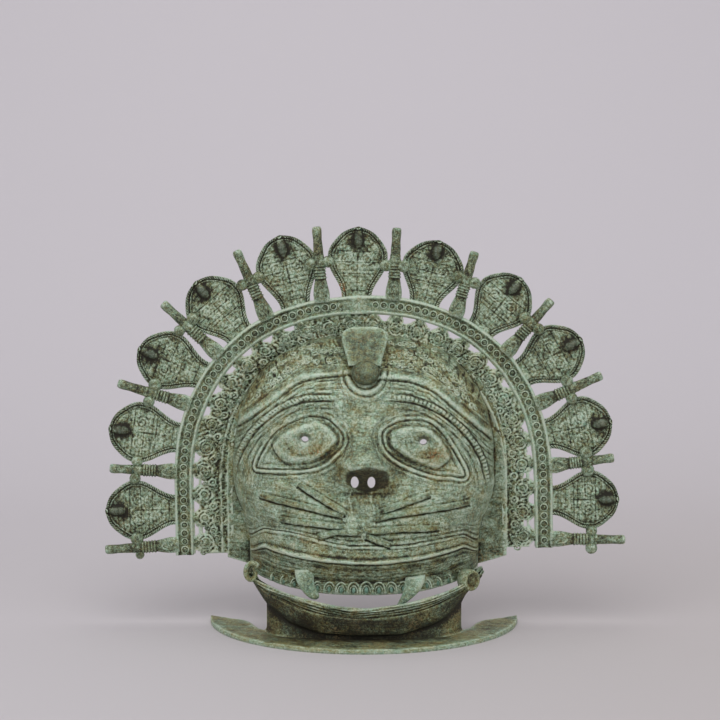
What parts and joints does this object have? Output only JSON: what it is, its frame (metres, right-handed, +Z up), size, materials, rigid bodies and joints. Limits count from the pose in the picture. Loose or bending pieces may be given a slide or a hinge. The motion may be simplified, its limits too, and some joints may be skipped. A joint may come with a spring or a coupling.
{
  "type": "bhuta mask",
  "caption": "Large cast brass bhuta mask: a feline spirit face with whiskers and fangs on a crescent collar, under a crown of cobra hoods.",
  "frame": {"origin": "on the surface it stands on, under the middle of its bounding box", "axes": "+X across the mask to the viewer's right, +Y from the face to its open back, +Z up; the face looks along -Y"},
  "size_m": [0.4849, 0.141, 0.3711],
  "materials": {
    "patinated_brass": "matt green verdigris over dark brown cast brass"
  },
  "bodies": {
    "root": {"mask": "patinated_brass"}
  },
  "joints": []
}
